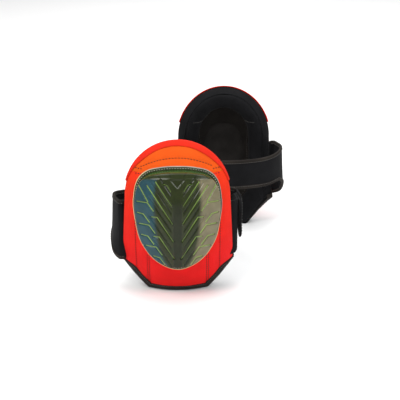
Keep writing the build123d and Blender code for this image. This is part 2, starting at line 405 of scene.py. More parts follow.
def coverLift(x, z):
    # the cover swells over the foam and dips at every seam
    c = cover
    dips = [abs(abs(x) - c["sideSeam"]) if z < c["crownSeam"] else 1, abs(z - c["crownSeam"])]
    if z < 0.10:
        dips += [abs(abs(x) - s) for s in c["doubleSeams"]]
    if z > c["crownSeam"] and abs(x) < 0.06:
        dips.append(abs(z - c["arcTop"] + c["arcDrop"] * x * x))
    near = min(dips)
    swell = c["puff"] * (1 - math.exp(-((near / c["puffReach"]) ** 2)))
    dip = c["seamDip"] * math.exp(-((near / c["seamReach"]) ** 2))
    spot = Vector((x * 38, z * 22, 3.1))
    crease = noise.noise(spot) * 0.55 * mm + noise.noise(spot * 3.1) * 0.22 * mm
    return swell - dip + crease


def coverPlace(x, z):
    # from the flat pattern to the moulded pad; what lies past the outline turns round the edge
    p = Vector((x, z - padShape["heart"]))
    angle = math.atan2(p.y, p.x)
    inset = (padReach(angle) - p.length) * padSlant(angle)
    return atEdge(angle, inset, coverLift(x, z) * smooth(inset / (12 * mm)))


def flatCover():
    # the whole cover as one flat pattern, x across and height up, a little larger than the outline
    c = cover
    bm = grid(c["steps"], c["steps"])
    for v in bm.verts:
        u, w = v.co.x, v.co.y
        share = max(abs(u), abs(w))
        angle = math.atan2(w, u) if share > 1e-9 else 0.0
        rim = (c["edgeTurn"] - 1) * padShape["corner"] / padSlant(angle)
        r = (padReach(angle) + rim) * share
        v.co = (r * math.cos(angle), padShape["heart"] + r * math.sin(angle), 0)
    return bm


def keepSide(bm, point, away):
    # cuts the pattern along a line and keeps what lies on the far side from away
    bmesh.ops.bisect_plane(
        bm, geom=bm.verts[:] + bm.edges[:] + bm.faces[:], plane_co=point, plane_no=away, clear_outer=True
    )


def coverPanel(name, cuts, material, slot, node, flat, area):
    bm = flatCover()
    for point, away in cuts:
        keepSide(bm, point, away)
    for v in bm.verts:
        v.co = coverPlace(v.co.x, v.co.y)
    thicken(bm, cover["thickness"])
    sewn = sheetOf("stretched", flat, area, ["foam_shell"])
    return onBothPads(name, bm, material, nodes=[node], finish=sewn)


seam = cover["sideSeam"]
crown = cover["crownSeam"]
below = ((0, crown, 0), (0, 1, 0))
coverPanel("CentrePanel", [below, ((seam, 0, 0), (1, 0, 0)), ((-seam, 0, 0), (-1, 0, 0))],
           panelCloth, "cover_cloth", "centre_panel", *cover["centreCut"])
coverPanel("LeftSidePanel", [below, ((-seam, 0, 0), (1, 0, 0))],
           panelCloth, "cover_cloth", "left_side_panel", *cover["sideCut"])
coverPanel("RightSidePanel", [below, ((seam, 0, 0), (-1, 0, 0))],
           panelCloth, "cover_cloth", "right_side_panel", *cover["sideCut"])
coverPanel("CrownPanel", [((0, crown, 0), (0, -1, 0))],
           crownCloth, "crown_cloth", "crown_panel", *cover["crownCut"])
print("cover panels made")


def edgeStrip(name, start, end, width, back, lift, material, node, cut):
    # a folded strip sewn over the pad's edge, from one direction to another round the heart
    bm = grid(240, 14)

    def place(u, w):
        angle = start + (end - start) * (u + 1) / 2
        wide = width((u + 1) / 2)
        inset = wide - (wide + back) * (w + 1) / 2
        ripple = noise.noise(Vector((u * 14, w, 7.7))) * 0.35 * mm
        raisedBy = lift * min(1.0, 0.25 + (1 + w) * 2.2)
        return atEdge(angle, inset, raisedBy + ripple * (1 - abs(w)))

    shaped(bm, place)
    thicken(bm, 1.1 * mm)
    folded = sheetOf("folded", *cut, ["foam_shell"])
    return onBothPads(name, bm, material, nodes=[node], finish=folded)


elbow = math.atan2(padShape["chamfer"] - padShape["heart"], padShape["half"])
binding = {
    "cut": ((0.024, 0.36), 0.0071),
    "wide": 10.5 * mm,
    "tip": 1.4 * mm,
    "taper": 0.13,
    "past": 0.05,  # how far the tape runs past each elbow, in radians
    "sewnPast": 0.02,
    "back": 14 * mm,
    "lift": 1.7 * mm,
}
crownHem = {
    "cut": ((0.014, 0.26), 0.0024),
    "wide": 7.4 * mm,
    "tip": 1.6 * mm,
    "taper": 0.30,
    "from": math.radians(40),
    "to": math.radians(140),
    "back": 0.5 * mm,
    "lift": 0.9 * mm,
}


def bindingWidth(t):
    b = binding
    return b["tip"] + (b["wide"] - b["tip"]) * smooth(min(t, 1 - t) / b["taper"])


def crownHemWidth(t):
    h = crownHem
    return h["tip"] + (h["wide"] - h["tip"]) * smooth(min(t, 1 - t) / h["taper"])


edgeStrip("BottomBinding", elbow + binding["past"], -math.pi - elbow - binding["past"], bindingWidth,
          binding["back"], binding["lift"], bindingTape, "bottom_binding", binding["cut"])
edgeStrip("CrownHem", crownHem["from"], crownHem["to"], crownHemWidth,
          crownHem["back"], crownHem["lift"], hemCloth, "crown_hem", crownHem["cut"])
print("edge strips made")

# Stitching

stitch = {"long": 3.3 * mm, "wide": 0.62 * mm, "gap": 1.5 * mm, "offSeam": 1.6 * mm, "proud": 0.35 * mm}


def stitchRun(bm, line, size=1.0):
    # sews along a line of points: one short rounded thread for each stitch, lying along it
    pitch = (stitch["long"] + stitch["gap"]) * size
    walked, due = 0.0, 0.0
    for a, b in zip(line, line[1:]):
        step = (b - a).length
        while step > 1e-9 and due <= walked + step:
            middle = a + (b - a) * ((due - walked) / step)
            turn = (b - a).to_track_quat("X", "Z").to_matrix().to_4x4()
            shape = Matrix.Diagonal((stitch["long"] / 2 * size, stitch["wide"], stitch["wide"], 1))
            bmesh.ops.create_uvsphere(bm, u_segments=6, v_segments=4, radius=1,
                                      matrix=Matrix.Translation(middle) @ turn @ shape)
            due += pitch
        walked += step


def coverLine(points, lift):
    # a line of points on the cover, through places of the flat pattern
    found = []
    for (x0, z0), (x1, z1) in zip(points, points[1:]):
        for k in range(12):
            x, z = x0 + (x1 - x0) * k / 12, z0 + (z1 - z0) * k / 12
            found.append(onMould(x, z, -lift - coverLift(x, z)))
    return found


def coverStitches():
    c, bm = cover, bmesh.new()
    lift, beside = stitch["proud"], seam + stitch["offSeam"]
    for way in (-1, 1):
        stitchRun(bm, coverLine([(way * beside, 0.026), (way * beside, 0.193)], lift))
        for s in c["doubleSeams"]:
            stitchRun(bm, coverLine([(way * s, 0.008), (way * s, 0.075)], lift))
        reach = halfWidth(crown) - 6 * mm
        for z in (crown - stitch["offSeam"], crown + 6 * mm):
            stitchRun(bm, coverLine([(way * 0.056, z), (way * reach, z)], lift))
    arc = [(x * mm, c["arcTop"] - c["arcDrop"] * (x * mm) ** 2) for x in range(-56, 57, 4)]
    stitchRun(bm, coverLine(arc, lift))
    h, hem = crownHem, []
    for k in range(101):
        t = 0.12 + 0.76 * k / 100
        hem.append(atEdge(h["from"] + (h["to"] - h["from"]) * t, crownHemWidth(t) - 0.9 * mm, 1.15 * mm))
    stitchRun(bm, hem)
    return bm


def bindingStitches():
    bm, line = bmesh.new(), []
    first = elbow + binding["sewnPast"]
    for k in range(121):
        t = 0.02 + 0.96 * k / 120
        angle = first - (math.pi + 2 * first) * t
        line.append(atEdge(angle, bindingWidth(t) - stitch["offSeam"], binding["lift"] + 0.3 * mm))
    stitchRun(bm, line, 0.8)
    return bm


onBothPads("CoverStitches", coverStitches(), blackThread)
onBothPads("BindingStitches", bindingStitches(), greyThread)
print("cover stitched")

# Kneeling cap

cap = {
    "steps": 300,
    "centre": 0.142,
    "outline": [(0, 217.8), (26, 215.5), (47, 208.5), (60.5, 195), (68.4, 164), (65.7, 127),
                (54.8, 88), (42, 69), (26.6, 56), (0, 46.6)],
    "lip": 1.7 * mm,
    "flange": 4.6 * mm,
    "wall": 7 * mm,
    "wallRise": 11.5 * mm,
    "domeRise": 6.6 * mm,
    "lugRise": 1.7 * mm,
    "grooveHalf": 0.75 * mm,
    "grooveSoft": 1.2 * mm,
    "spineHalf": 7 * mm,
    "ribEnd": (9.0, 153.0),
    "ribStep": (-1.2, -29.0),
    "ribTops": (33, 46, 31, 28),
    "ribSlope": 1.63,
    "lugTop": 161.5,
    "lugPitch": 18.1,
    "lugKnees": (0.67, 0.77),
    "lugRun": (9.0, 13.4),
    "sightline": 21,  # degrees above level of the side that the tread is laid out from
}
capTints = {
    "olive": (0.022, 0.030, 0.008),
    # deep: painted shade for the tread's recessed spine, channels and notch
    "deep": (0.012, 0.016, 0.005),
    "green": (0.032, 0.115, 0.020),
    # painted reflection: teal on the left of the outer lugs, beige on the right
    "paintedReflectionTeal": (0.022, 0.066, 0.082),
    "paintedReflectionBeige": (0.18, 0.16, 0.095),
    "groove": (0.30, 0.46, 0.10),
    "flange": (0.030, 0.042, 0.018),
    # lip: a painted highlight along the cap's edge; greyLip: the same edge where less highlight is painted
    "lip": (0.75, 0.62, 0.30),
    "greyLip": (0.30, 0.30, 0.26),
}


def capOutlinePolar():
    centre = cap["centre"]
    half = [(x * mm, z * mm - centre) for x, z in cap["outline"]]
    turns = [math.atan2(z, x) for x, z in half]
    return [(a, math.hypot(*p)) for a, p in zip(turns, half)][::-1]


capPolar = capOutlinePolar()


def capReach(angle):
    # the cap's outline seen from its centre, as a smooth curve through its points
    a = math.asin(max(-1, min(1, math.sin(angle))))
    knots = capPolar
    k = 0
    while k < len(knots) - 2 and knots[k + 1][0] < a:
        k += 1
    (a0, r0), (a1, r1) = knots[k], knots[k + 1]
    before = knots[k - 1] if k > 0 else (2 * a0 - a1, r1)
    after = knots[k + 2] if k + 2 < len(knots) else (2 * a1 - a0, r0)
    t = (a - a0) / (a1 - a0)
    m0 = (r1 - before[1]) / (a1 - before[0]) * (a1 - a0)
    m1 = (after[1] - r0) / (after[0] - a0) * (a1 - a0)
    t2, t3 = t * t, t * t * t
    return (2 * t3 - 3 * t2 + 1) * r0 + (t3 - 2 * t2 + t) * m0 + (3 * t2 - 2 * t3) * r1 + (t3 - t2) * m1


def rimAt(z):
    # half the cap's width at one height, in millimetres
    near, far = 0.0, 0.09
    for _ in range(20):
        x = (near + far) / 2
        p = Vector((x, z * mm - cap["centre"]))
        near, far = (x, far) if p.length < capReach(math.atan2(p.y, p.x)) else (near, x)
    return near / mm


rimCache = {}


def rimNear(az):
    key = round(az * 2)
    if key not in rimCache:
        rimCache[key] = rimAt(min(217, max(47, az)))
    return rimCache[key]


def treadLines():
    # the tread's grooves on one side: ribs down to the spine, and bent lines between the outer lugs
    lines = []
    for k, top in enumerate(cap["ribTops"]):
        x, z = cap["ribEnd"][0] + cap["ribStep"][0] * k, cap["ribEnd"][1] + cap["ribStep"][1] * k
        bend = (top, z + (top - x) * cap["ribSlope"])
        line = [(x, z), bend]
        if k > 1:
            line.append((bend[0] + 8.5, bend[1] + 1))
        lines.append(line)
    lines.append([(59, 187.5), (45, 160)])
    lines.append([(10, 176), (15.5, 186), (21, 188)])
    for k in range(6):
        z = cap["lugTop"] - cap["lugPitch"] * k
        rim = rimAt(z) - 6.5
        knee = (rim + 6) * cap["lugKnees"][k % 2] - 1.8 * max(0, k - 2)
        lines.append([(rim, z), (knee, z - 3), (knee - cap["lugRun"][0], z - 3 - cap["lugRun"][1])])
    return lines


tread = treadLines()


def lineDistance(px, pz, line):
    best = 1e9
    for (ax, az), (bx, bz) in zip(line, line[1:]):
        dx, dz = bx - ax, bz - az
        t = max(0.0, min(1.0, ((px - ax) * dx + (pz - az) * dz) / (dx * dx + dz * dz)))
        best = min(best, math.hypot(px - ax - t * dx, pz - az - t * dz))
    return best


def sighted(p):
    # how high a point looks, seen level with the tread's sightline
    tilt = math.radians(cap["sightline"])
    return p.z * math.cos(tilt) + p.y * math.sin(tilt)


treadTop = sighted(onMould(0, cap["outline"][0][1] * mm, 0))
treadBase = sighted(onMould(0, cap["outline"][-1][1] * mm, 0))


def treadPlace(x, z, height):
    # where a point of the dome falls in the tread's flat layout, in millimetres
    p = onMould(x, z, -height)
    share = (sighted(p) - treadBase) / (treadTop - treadBase)
    low, high = cap["outline"][-1][1], cap["outline"][0][1]
    return abs(p.x) / mm, low + (high - low) * share


def capAt(x, z):
    # the cap's height over the cover, and its colour with painted reflection, shade and highlight, at one
    # place of its plan
    c = cap
    p = Vector((x, z - c["centre"]))
    angle = math.atan2(p.y, p.x) if p.length > 1e-6 else 0.0
    reach = capReach(angle)
    inset = reach - p.length
    share = min(1.0, p.length / (reach - c["flange"]))
    height = c["lip"] * min(1.0, 0.35 + inset / (1.2 * mm))
    onDome = smooth((inset - c["flange"]) / c["wall"])
    height += c["wallRise"] * onDome + c["domeRise"] * (1 - share**2.2) * onDome
    trench = math.exp(-(((inset - c["flange"]) / (1.1 * mm)) ** 2))
    height -= 0.9 * mm * trench
    ax, az = treadPlace(x, z, height)
    near = min(lineDistance(ax, az, line) for line in tread) * mm
    onTread = smooth((inset - c["flange"] - 1.5 * mm) / (2.5 * mm)) * smooth((198 - az) / 4)
    raised = smooth((near - c["grooveHalf"]) / c["grooveSoft"])
    across = ((az - c["ribEnd"][1]) - c["ribSlope"] * (ax - c["ribEnd"][0])) / math.hypot(1, c["ribSlope"])
    pitch = -c["ribStep"][1] / math.hypot(1, c["ribSlope"])
    inRibs = smooth((ax - c["spineHalf"] / mm - 1) / 2) * smooth((rimNear(az) * 0.66 - ax) / 3)
    channel = math.exp(-((((across % pitch) - pitch * 0.58) / 1.3) ** 2)) * inRibs
    spine = smooth((c["spineHalf"] / mm + 1 - ax) / 2.5) * (0.25 + 0.75 * smooth((172 - az) / 30))
    brow = smooth((az - 193) / 4) * smooth((207 - az) / 4) * onDome
    notch = smooth((9 - ax + (az - 190) * 0.8) / 3) * smooth((az - 178) / 4) * smooth((198 - az) / 3)
    height += onTread * (c["lugRise"] * raised - 1.3 * mm * channel - 1.6 * mm * spine - 1.0 * mm * notch)
    height += brow * 1.4 * mm
    side = smooth((ax - rimNear(az) * 0.46) / 8)
    # painted reflection: the outer lugs go from teal on the left to beige on the right
    lugReflectionTint = mixOf(capTints["paintedReflectionTeal"], capTints["paintedReflectionBeige"], smooth((x / mm + 25) / 50))
    # painted shade: the recessed spine, channels and notch are darkened towards the deep tint
    color = mixOf(capTints["olive"], capTints["deep"], max(spine * 0.8, channel * 0.9, notch * 0.5))
    color = mixOf(color, lugReflectionTint, side * onTread)
    color = mixOf(color, capTints["green"], smooth((7 * mm - inset + c["flange"]) / (4 * mm)) * onDome)
    glow = (1 - smooth(near / (1.15 * mm))) * onTread * (0.35 + 0.65 * smooth((ax - 8) / 30))
    color = mixOf(color, capTints["groove"], glow)
    if inset < c["flange"]:
        color = capTints["flange"]
        # painted highlight: the lip is gold on the left and at the bottom, going grey towards the right and
        # the top
        lip = mixOf(capTints["lip"], capTints["greyLip"], smooth((x / mm * 0.7 + az - 150) / 50))
        color = mixOf(lip, color, smooth((inset - 1.0 * mm) / (0.9 * mm)))
    return height, color


def joinedWith(bm, other):
    # adds another open shape to bm and gives the edges of both rims
    mesh = bpy.data.meshes.new("other")
    other.to_mesh(mesh)
    other.free()
    bm.from_mesh(mesh)
    return [e for e in bm.edges if e.is_boundary]


def buildCap():
    bm = grid(cap["steps"], cap["steps"])
    tint = bm.verts.layers.float_color.new("capTint")
    for v in bm.verts:
        u, w = v.co.x, v.co.y
        share = max(abs(u), abs(w))
        angle = math.atan2(w, u) if share > 1e-9 else 0.0
        r = capReach(angle) * share
        x, z = r * math.cos(angle), cap["centre"] + r * math.sin(angle)
        height, color = capAt(x, z)
        v.co = onMould(x, z, -height - 0.2 * mm - cover["puff"] * 0.5)
        v[tint] = (*color, 1)
    back = grid(cap["steps"] // 4, cap["steps"] // 4)
    for v in back.verts:
        share = max(abs(v.co.x), abs(v.co.y))
        angle = math.atan2(v.co.y, v.co.x) if share > 1e-9 else 0.0
        r = capReach(angle) * share
        v.co = onMould(r * math.cos(angle), cap["centre"] + r * math.sin(angle), -0.05 * mm)
    rim = joinedWith(bm, back)
    bmesh.ops.bridge_loops(bm, edges=rim)
    bmesh.ops.recalc_face_normals(bm, faces=bm.faces)
    return bm


onBothPads("TreadCap", buildCap(), capGloss, nodes=["tread_cap"])
capSewing = bmesh.new()
capLine = []
for k in range(361):
    a = math.radians(k)
    r = capReach(a) - 3.6 * mm
    x, z = r * math.cos(a), cap["centre"] + r * math.sin(a)
    capLine.append(onMould(x, z, -capAt(x, z)[0] - 0.8 * mm))
stitchRun(capSewing, capLine, 0.85)
onBothPads("CapStitches", capSewing, paleThread)
print("cap made")

# Leg side: edge facing, lining, padded ring and knee cushion
padding = {
    "facing": (0.9 * mm, -17 * mm),
    "facingCut": ((0.022, 0.65), 0.0137),
    "liningCut": ((0.126, 0.197), 0.0195),
    "liningDepth": 15.0 * mm,
    "liningInset": 27 * mm,
    "roll": [(0.6, 15.8), (0.2, 19.5), (1.6, 23.2), (5.5, 26.0), (12, 27.2), (20, 26.4), (27, 23.6),
             (31.5, 19.6), (33.4, 16.6), (31, 15.3), (20, 15.3), (8, 15.3), (2, 15.2)],
    "rollVoxel": 4 * mm,
    "rollPuff": 2.0 * mm,
    "cushionHalf": 47.5 * mm,
    "cushionLow": 0.038,
    "cushionTop": 0.187,
    "cushionRise": 5.6 * mm,
    "cushionVoxel": 4 * mm,
    "cushionPuff": 2.4 * mm,
    "seamHeight": 0.198,
}


def inPad(angle, inset, depth):
    # a point at one direction from the heart, inset from the outline and deep in the layers
    p = (padReach(angle) - inset / padSlant(angle)) * ray(angle)
    return onMould(p.x, padShape["heart"] + p.y, depth)


def shown(mesh, name):
    obj = bpy.data.objects.new(name, mesh)
    bpy.context.scene.collection.objects.link(obj)
    return obj


def evaluated(obj):
    bpy.context.view_layer.update()
    return bpy.data.meshes.new_from_object(obj.evaluated_get(bpy.context.evaluated_depsgraph_get()))


def remeshed(bm, voxel):
    mesh = bpy.data.meshes.new("draft")
    bm.to_mesh(mesh)
    bm.free()
    draft = shown(mesh, "draft")
    made = draft.modifiers.new("voxels", "REMESH")
    made.mode = "VOXEL"
    made.voxel_size = voxel
    result = evaluated(draft)
    bpy.data.objects.remove(draft)
    return result


def inflated(mesh, held, puff):
    # a short cloth simulation under pressure; held says which points are sewn down
    draft = shown(mesh, "draft")
    group = draft.vertex_groups.new(name="sewn")
    group.add([v.index for v in mesh.vertices if held(v.co)], 1.0, "REPLACE")
    cloth = draft.modifiers.new("cloth", "CLOTH")
    cloth.settings.vertex_group_mass = "sewn"
    cloth.settings.use_pressure = True
    cloth.settings.uniform_pressure_force = 4
    cloth.settings.effector_weights.gravity = 0
    before = [v.co.copy() for v in mesh.vertices]
    scene = bpy.context.scene
    for step in range(1, 21):
        scene.frame_set(step)
    result = evaluated(draft)
    scene.frame_set(1)
    bpy.data.objects.remove(draft)
    for v, start in zip(result.vertices, before):
        move = v.co - start
        if move.length > puff:
            v.co = start + move * (puff / move.length)
    return result


def softened(mesh, rounds):
    bm = bmesh.new()
    bm.from_mesh(mesh)
    for _ in range(rounds):
        bmesh.ops.smooth_vert(bm, verts=bm.verts, factor=0.5,
                              use_axis_x=True, use_axis_y=True, use_axis_z=True)
    mesh = bpy.data.meshes.new("soft")
    bm.to_mesh(mesh)
    bm.free()
    draft = shown(mesh, "draft")
    draft.modifiers.new("finer", "SUBSURF").levels = 1
    result = bmesh.new()
    result.from_mesh(evaluated(draft))
    bpy.data.objects.remove(draft)
    bmesh.ops.recalc_face_normals(result, faces=result.faces)
    return result


def closedLoop(points, t):
    # a place along a closed outline of points, as a smooth curve
    n = len(points)
    k, f = int(t * n) % n, t * n - int(t * n)
    a, b, c, d = (Vector(points[(k + i) % n]) for i in (-1, 0, 1, 2))
    return 0.5 * (2 * b + (c - a) * f + (2 * a - 5 * b + 4 * c - d) * f**2 + (3 * b - a - 3 * c + d) * f**3)


def buildRoll():
    bm = grid(220, 48)

    def place(u, w):
        inset, depth = closedLoop(padding["roll"], (w + 1) / 2 % 1.0) * mm
        return inPad(math.pi * u, inset, depth)

    shaped(bm, place)
    bmesh.ops.remove_doubles(bm, verts=bm.verts, dist=0.01 * mm)
    bmesh.ops.recalc_face_normals(bm, faces=bm.faces)
    return bm


def legDepth(p):
    # how deep a point is in the layers, measured from the cover
    reach = math.hypot(mould["long"] - p.y, p.z - mould["middle"])
    return mould["wrap"] - math.hypot(reach - (mould["long"] - mould["wrap"]), p.x)


def buildCushion():
    c = padding
    middle, tall = (c["cushionLow"] + c["cushionTop"]) / 2, (c["cushionTop"] - c["cushionLow"]) / 2
    plan = []
    bm = grid(56, 56)
    for v in bm.verts:
        u, w = v.co.x, v.co.y
        share = max(abs(u), abs(w))
        angle = math.atan2(w, u) if share > 1e-9 else 0.0
        co, si = abs(math.cos(angle)), abs(math.sin(angle))
        reach = ((co / c["cushionHalf"]) ** 2.5 + (si / tall) ** 2.5) ** (-1 / 2.5)
        x, z = reach * share * math.cos(angle), middle + reach * share * math.sin(angle)
        rise = c["cushionRise"] * (1 - share**5) ** 0.5 * (0.72 + 0.28 * share**2)
        v.co = onMould(x, z, c["liningDepth"] + 0.4 * mm + rise)
        plan.append((x, z))
    back = bm.copy()
    for v, (x, z) in zip(back.verts, plan):
        v.co = onMould(x, z, c["liningDepth"] + 0.3 * mm)
    mesh = bpy.data.meshes.new("back")
    back.to_mesh(mesh)
    back.free()
    bm.from_mesh(mesh)
    bmesh.ops.remove_doubles(bm, verts=bm.verts, dist=0.3 * mm)
    bmesh.ops.recalc_face_normals(bm, faces=bm.faces)
    return bm


def padded():
    def declare(obj, side, place):
        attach(obj, side + "_pad")

    return declare


sewnDepth = padding["liningDepth"] + 0.9 * mm
roll = softened(inflated(remeshed(buildRoll(), padding["rollVoxel"]),
                         lambda p: legDepth(p) < sewnDepth, padding["rollPuff"]), 1)
cushion = softened(inflated(remeshed(buildCushion(), padding["cushionVoxel"]),
                            lambda p: legDepth(p) < sewnDepth, padding["cushionPuff"]), 1)
onBothPads("RimBolster", roll, neoprene, nodes=["rim_bolster"], finish=padded())
onBothPads("KneeCushion", cushion, cushionCloth, nodes=["knee_cushion"], finish=padded())


def faceAway(bm, centre):
    # turns every face to look away from a centre
    bmesh.ops.recalc_face_normals(bm, faces=bm.faces)
    if sum(f.normal.dot(f.calc_center_median() - centre) * f.calc_area() for f in bm.faces) < 0:
        bmesh.ops.reverse_faces(bm, faces=bm.faces[:])


def buildFacing():
    bm = grid(280, 26)
    first, last = padding["facing"]

    def place(u, w):
        t = (w + 1) / 2
        bulge = 0.5 * mm * math.sin(math.pi * t) - 0.25 * mm * (1 - smooth(t * 8))
        return atEdge(math.pi * u, first + (last - first) * t, bulge)

    shaped(bm, place)
    bmesh.ops.remove_doubles(bm, verts=bm.verts, dist=0.01 * mm)
    return thicken(bm, 1.0 * mm)


def buildLining():
    bm = grid(90, 90)
    for v in bm.verts:
        u, w = v.co.x, v.co.y
        share = max(abs(u), abs(w))
        angle = math.atan2(w, u) if share > 1e-9 else 0.0
        r = (padReach(angle) - padding["liningInset"] / padSlant(angle)) * share
        x, z = r * math.cos(angle), padShape["heart"] + r * math.sin(angle)
        ripple = 0.25 * mm * noise.noise(Vector((x * 60, z * 60, 1.7)))
        v.co = onMould(x, z, padding["liningDepth"] + ripple)
    return thicken(bm, 1.0 * mm)


onBothPads("EdgeFacing", buildFacing(), neoprene,
           finish=sheetOf("folded", *padding["facingCut"], ["foam_shell"]))
onBothPads("Lining", buildLining(), softLining, nodes=["lining"],
           finish=sheetOf("stretched", *padding["liningCut"], ["foam_shell"]))


def legStitches():
    bm = bmesh.new()
    ring = [inPad(math.radians(a), 35.2 * mm, padding["liningDepth"] + 0.6 * mm) for a in range(361)]
    stitchRun(bm, ring)
    for way in (-1, 1):
        line = []
        for k in range(25):
            inset, depth = (6 + 22 * k / 24) * mm, (27.4 - 0.016 * (k - 8) ** 2) * mm
            x = halfWidth(padding["seamHeight"]) - inset
            line.append(onMould(way * x, padding["seamHeight"], depth + 1.1 * mm))
        stitchRun(bm, line, 0.7)
    return bm


onBothPads("LegStitches", legStitches(), greyThread)
print("leg side made")

# Strap, its bindings, the flap and the wing
joints = {j["name"]: j for j in frame["joints"]}


def fromPad(joint):
    p = padPlaces["front"].inverted() @ Vector(joints[joint]["pos_m"])
    return Vector((p.x, p.y))


strap = {
    "seam": fromPad("front_strap_swing"),
    "flapHinge": fromPad("front_flap_peel"),
    "offset": 2.5 * mm,
    "flare": 29 * mm,
    "depth": 60 * mm,
    "endSine": 0.32,
    "low": 0.052,
    "high": 0.152,
    "bandLow": 0.100,
    "taper": 0.055,
    "sag": 8 * mm,
    "lean": 3 * mm,
    "thickness": 2.6 * mm,
    "bindingHigh": 6.6 * mm,
    "bindingThick": 4.4 * mm,
    "lead": 0.05,
    "foot": (-83.5 * mm, 47.5 * mm),
    "bandCut": ((0.100, 0.30), 0.0171),
    "tapeCut": ((0.010, 0.28), 0.0026),
}
seamPoint = strap["seam"]
strapMiddle = Vector((-strap["offset"], seamPoint.y + strap["flare"]))
strapHalf = (strapMiddle.x - seamPoint.x) / math.sqrt(1 - (strap["flare"] / strap["depth"]) ** 2)
strapStart = math.pi + math.asin(strap["flare"] / strap["depth"])
strapEnd = math.asin(strap["endSine"])


def strapPlan(t):
    # the strap's line in plan, from inside the pad's edge round the leg to the flap
    lead = strap["lead"]
    turn = strapStart + (strapEnd - strapStart) * max(0.0, (t - lead) / (1 - lead))
    p = strapMiddle + Vector((strapHalf * math.cos(turn), strap["depth"] * math.sin(turn)))
    if t < lead:
        f = t / lead
        a, b = Vector(strap["foot"]), Vector((seamPoint.x + 5.5 * mm, seamPoint.y - 1 * mm))
        p = a * (1 - f) ** 2 + b * 2 * f * (1 - f) + p * f**2
    return p


def strapLow(y):
    run = smooth(min(1.0, max(0.0, (y - seamPoint.y) / strap["taper"]))) * 0.4
    run += 0.6 * min(1.0, max(0.0, (y - seamPoint.y) / strap["taper"]))
    return strap["low"] + (strap["bandLow"] - strap["low"]) * run


def strapPoint(t, w, proud=0.0):
    # t goes along the strap, w from its lower edge at 0 to its upper edge at 1
    p = strapPlan(t)
    ahead = strapPlan(min(1.0, t + 0.004)) - strapPlan(max(0.0, t - 0.004))
    out = Vector((-ahead.y, ahead.x)).normalized()
    back = smooth((p.y - seamPoint.y - 0.03) / 0.05)
    atFlap = smooth((1 - t) / 0.16)
    z = strapLow(p.y) * (1 - w) + strap["high"] * w - strap["sag"] * back * atFlap
    side = smooth(-p.x / 0.09) * smooth((t - 0.03) / 0.08)
    shift = strap["lean"] * side * (strapMid - z) / 0.05
    wave = noise.noise(Vector((t * 7, w * 1.3, 5.2))) * 1.6 * mm * smooth(t / 0.1) * smooth((1 - t) / 0.1)
    place = p + out * (proud + wave)
    return Vector((place.x - shift, place.y, z))


strapMid = (strap["low"] + strap["high"]) / 2
legCentre = Vector((0, 0.08, 0.12))


def outwards(bm, centre, thickness):
    faceAway(bm, centre)
    bmesh.ops.solidify(bm, geom=bm.faces[:], thickness=thickness)
    bmesh.ops.recalc_face_normals(bm, faces=bm.faces)
    return bm


def softEdges(bm, width):
    sharp = [e for e in bm.edges if len(e.link_faces) == 2 and e.calc_face_angle() > 1.0]
    bmesh.ops.bevel(bm, geom=sharp, offset=width, segments=2, affect="EDGES", profile=0.5, material=-1)
    return bm


def buildBand():
    bm = grid(150, 18)
    shaped(bm, lambda u, w: strapPoint((u + 1) / 2, (w + 1) / 2, strap["thickness"] / 2))
    return softEdges(outwards(bm, legCentre, strap["thickness"]), 0.5 * mm)


def buildTape(w):
    # a folded tape over one edge of the strap, as a closed section drawn along it
    bm = grid(170, 20)
    high, thick = strap["bindingHigh"] / 2, strap["bindingThick"] / 2
    inward = 1 if w == 0 else -1

    def place(u, v):
        t = (u + 1) / 2 * 0.985 + 0.012
        a = math.pi * v
        ca, sa = math.cos(a), math.sin(a)
        across = thick * math.copysign(abs(ca) ** 0.6, ca)
        along = high * math.copysign(abs(sa) ** 0.6, sa)
        p = strapPoint(t, w, across)
        return p + Vector((0, 0, along + inward * (high - 0.8 * mm)))

    shaped(bm, place)
    bmesh.ops.remove_doubles(bm, verts=bm.verts, dist=0.01 * mm)
    bmesh.ops.holes_fill(bm, edges=[e for e in bm.edges if e.is_boundary], sides=0)
    bmesh.ops.recalc_face_normals(bm, faces=bm.faces)
    return bm


def strapStitches():
    bm = bmesh.new()
    for w, drop in ((0, 1), (1, -1)):
        for proud in (-1, 1):
            line = []
            for k in range(241):
                t = 0.03 + 0.95 * k / 240
                p = strapPoint(t, w, proud * (strap["bindingThick"] / 2 + 0.05 * mm))
                line.append(p + Vector((0, 0, drop * (strap["bindingHigh"] - 2.4 * mm))))
            stitchRun(bm, line, 0.9)
    return bm


def acrossSwing(obj, side, place):
    # the strap's root is sewn to the pad; this bakes the piece's place into its mesh, and the line at the
    # root that the rest would swing about is worked out but not used
    start = padPoint(place, seamPoint.x, seamPoint.y - 2 * mm, 0)
    end = padPoint(place, seamPoint.x, 0.058, 0)
    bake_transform(obj)


def acrossPeel(obj, side, place):
    hinge = strap["flapHinge"]
    start, end = padPoint(place, hinge.x, hinge.y, 0), padPoint(place, hinge.x, hinge.y - 9 * mm, 0)
    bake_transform(obj)
    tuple(start)
    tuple(end)


onBothPads("StrapBand", buildBand(), neoprene, nodes=["strap_band"],
           finish=sheetOf("hung", *strap["bandCut"], ["foam_shell"], acrossSwing))
onBothPads("UpperBinding", buildTape(1), bindingTape, nodes=["strap_upper_binding"],
           finish=sheetOf("folded", *strap["tapeCut"], ["strap_band"], acrossSwing))
onBothPads("LowerBinding", buildTape(0), bindingTape, nodes=["strap_lower_binding"],
           finish=sheetOf("folded", *strap["tapeCut"], ["strap_band"], acrossSwing))
onBothPads("StrapStitches", strapStitches(), greyThread, finish=acrossSwing)
print("strap made")

